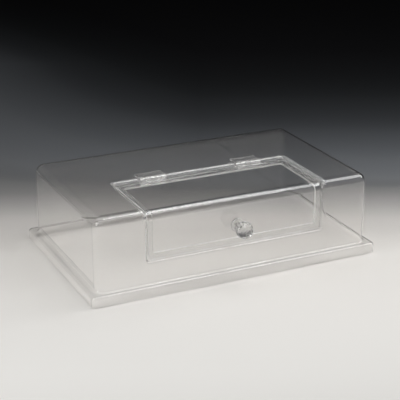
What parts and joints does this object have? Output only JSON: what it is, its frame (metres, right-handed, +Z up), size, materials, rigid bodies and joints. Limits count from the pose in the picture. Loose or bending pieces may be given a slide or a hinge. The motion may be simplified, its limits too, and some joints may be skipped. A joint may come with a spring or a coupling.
{
  "type": "food cover",
  "caption": "Clear acrylic tray cover with a flanged foot and a bent front door that lies in a recessed seat, hinged at its rear and lifted by a faceted knob.",
  "frame": {"origin": "centre of the cover's foot, on the plane that the skirt rests on", "axes": "+X along the cover's length, +Y from the door's front to the rear, +Z up"},
  "size_m": [0.5334, 0.3541, 0.148],
  "materials": {
    "sheet_acrylic": "clear, polished",
    "hinge_plastic": "clear, moulded",
    "knob_acrylic": "clear, faceted",
    "pin_steel": "drawn wire",
    "screw_steel": "bright",
    "insert_brass": "turned, nickel plated",
    "washer_nylon": "natural"
  },
  "bodies": {
    "cover": {"dome": "sheet_acrylic", "left_hinge_dome_leaf": "hinge_plastic", "left_hinge_pin": "pin_steel", "right_hinge_dome_leaf": "hinge_plastic", "right_hinge_pin": "pin_steel"},
    "door": {"door": "sheet_acrylic", "left_hinge_door_leaf": "hinge_plastic", "right_hinge_door_leaf": "hinge_plastic", "knob": "knob_acrylic", "knob_insert": "insert_brass", "knob_screw": "screw_steel", "knob_washer": "washer_nylon"}
  },
  "joints": [
    {"name": "door_hinge", "type": "hinge", "parent": "cover", "child": "door", "pos_m": [0, -0.009, 0.1445], "axis": [-1, 0, 0], "range_deg": [0, 160]}
  ]
}
